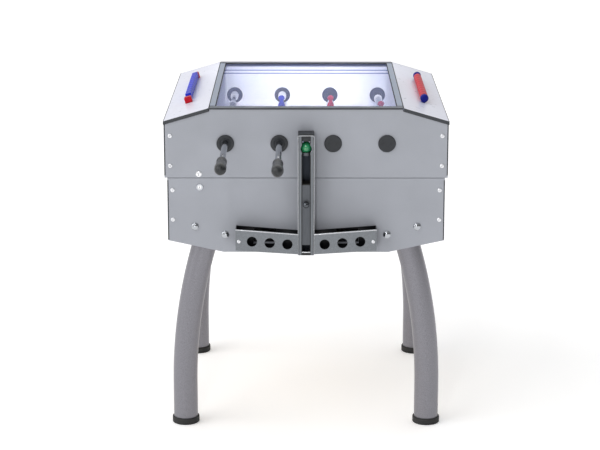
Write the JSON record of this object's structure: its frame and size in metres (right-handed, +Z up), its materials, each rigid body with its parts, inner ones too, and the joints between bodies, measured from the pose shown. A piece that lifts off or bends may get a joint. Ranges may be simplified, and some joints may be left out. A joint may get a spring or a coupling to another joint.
{
  "type": "foosball table",
  "caption": "Compact foosball table with telescopic rods, a glass-covered pitch, sloping end decks, score counters, ball trays, a ball lift and curved tube legs.",
  "frame": {"origin": "on the floor, under the middle of the table and its four legs", "axes": "+X along the pitch from goal to goal, +Y from the front with the ball trays to the rear, +Z up"},
  "size_m": [0.764, 1.494, 0.9041],
  "materials": {
    "panel_grey": "grey scratch-resistant laminate, satin",
    "deck_white": "off-white laminate, satin",
    "edging_black": "edge banding",
    "pitch_white": "white laminate",
    "plain_board": "unpainted board",
    "safety_glass": "clear tempered glass",
    "frame_aluminium": "satin anodised",
    "tray_steel": "fine-grained metallic grey powder coat",
    "channel_aluminium": "satin anodised, dark grey",
    "slider_grey": "satin grey",
    "black_plastic": "moulded, satin",
    "black_rubber": "matte",
    "white_nylon": "turned nylon",
    "chrome": "polished",
    "bright_steel": "zinc plated",
    "leg_paint": "metallic grey powder coat",
    "blue_plastic": "moulded, glossy",
    "red_plastic": "moulded, glossy",
    "counter_ends": "moulded, glossy; the right counter's knobs are dark blue",
    "ball_green": "glossy"
  },
  "bodies": {
    "cabinet": {"front_upper_panel": "panel_grey", "rear_upper_panel": "panel_grey", "left_upper_end_panel": "panel_grey", "right_upper_end_panel": "panel_grey", "front_lower_panel": "panel_grey", "rear_lower_panel": "panel_grey", "left_lower_end_panel": "panel_grey", "right_lower_end_panel": "panel_grey", "bottom_board": "plain_board", "pitch_board": "pitch_white", "pitch_side_walls": "pitch_white", "goal_walls": "pitch_white", "goal_boxes": "black_plastic", "end_decks": "deck_white", "top_edge_bands": "edging_black", "glass_pane": "safety_glass", "glass_frame": "frame_aluminium", "return_ramps": "plain_board", "right_ball_tray": "tray_steel", "left_ball_tray": "tray_steel", "lift_channel": "channel_aluminium", "lift_cap": "black_plastic", "ball_seat": "black_rubber", "legs": "leg_paint", "leg_foot_caps": "black_plastic", "leg_brackets": "bright_steel", "leg_bolts": "chrome", "open_bearings": "black_plastic", "closed_bearings": "black_plastic", "inner_flanges": "black_plastic", "travel_stops": "white_nylon", "scorer_rails": "counter_ends", "screws": "bright_steel", "lock_barrel": "chrome"},
    "rod_1_core": {"rod_1_spindle": "chrome"},
    "rod_1": {"rod_1_tube": "chrome", "rod_1_figures": "blue_plastic", "rod_1_bumpers": "white_nylon", "rod_1_handle": "black_plastic"},
    "rod_2_core": {"rod_2_spindle": "chrome"},
    "rod_2": {"rod_2_tube": "chrome", "rod_2_figures": "blue_plastic", "rod_2_bumpers": "white_nylon", "rod_2_handle": "black_plastic"},
    "rod_3_core": {"rod_3_spindle": "chrome"},
    "rod_3": {"rod_3_tube": "chrome", "rod_3_figures": "red_plastic", "rod_3_bumpers": "white_nylon", "rod_3_handle": "black_plastic"},
    "rod_4_core": {"rod_4_spindle": "chrome"},
    "rod_4": {"rod_4_tube": "chrome", "rod_4_figures": "red_plastic", "rod_4_bumpers": "white_nylon", "rod_4_handle": "black_plastic"},
    "lift": {"lift_slider": "slider_grey", "lift_knob": "chrome"},
    "ball": {"ball": "ball_green"},
    "left_beads": {"left_scorer_beads": "blue_plastic"},
    "right_beads": {"right_scorer_beads": "red_plastic"},
    "lock": {"lock_plug": "bright_steel"}
  },
  "joints": [
    {"name": "rod_1_spin", "type": "hinge", "parent": "cabinet", "child": "rod_1_core", "pos_m": [-0.216, 0, 0.8035], "axis": [0, 1, 0], "continuous": true},
    {"name": "rod_1_slide", "type": "slide", "parent": "rod_1_core", "child": "rod_1", "axis": [0, 1, 0], "range_m": [-0.0895, 0.1175]},
    {"name": "rod_2_spin", "type": "hinge", "parent": "cabinet", "child": "rod_2_core", "pos_m": [-0.072, 0, 0.8035], "axis": [0, 1, 0], "continuous": true},
    {"name": "rod_2_slide", "type": "slide", "parent": "rod_2_core", "child": "rod_2", "axis": [0, 1, 0], "range_m": [-0.0675, 0.1395]},
    {"name": "rod_3_spin", "type": "hinge", "parent": "cabinet", "child": "rod_3_core", "pos_m": [0.072, 0, 0.8035], "axis": [0, 1, 0], "continuous": true},
    {"name": "rod_3_slide", "type": "slide", "parent": "rod_3_core", "child": "rod_3", "axis": [0, 1, 0], "range_m": [-0.0555, 0.1515]},
    {"name": "rod_4_spin", "type": "hinge", "parent": "cabinet", "child": "rod_4_core", "pos_m": [0.216, 0, 0.8035], "axis": [0, 1, 0], "continuous": true},
    {"name": "rod_4_slide", "type": "slide", "parent": "rod_4_core", "child": "rod_4", "axis": [0, 1, 0], "range_m": [-0.1535, 0.0535]},
    {"name": "lift_raise", "type": "slide", "parent": "cabinet", "child": "lift", "axis": [0, 0, 1], "range_m": [0, 0.072]},
    {"name": "ball_throw_in", "type": "slide", "parent": "cabinet", "child": "ball", "axis": [0, 1, 0], "range_m": [0, 0.075]},
    {"name": "left_beads_slide", "type": "slide", "parent": "cabinet", "child": "left_beads", "axis": [0, -1, 0], "range_m": [0, 0.0195]},
    {"name": "right_beads_slide", "type": "slide", "parent": "cabinet", "child": "right_beads", "axis": [0, 1, 0], "range_m": [0, 0.0115]},
    {"name": "lock_turn", "type": "hinge", "parent": "cabinet", "child": "lock", "pos_m": [-0.286, -0.38, 0.6836], "axis": [0, 1, 0], "range_deg": [0, 90]}
  ]
}
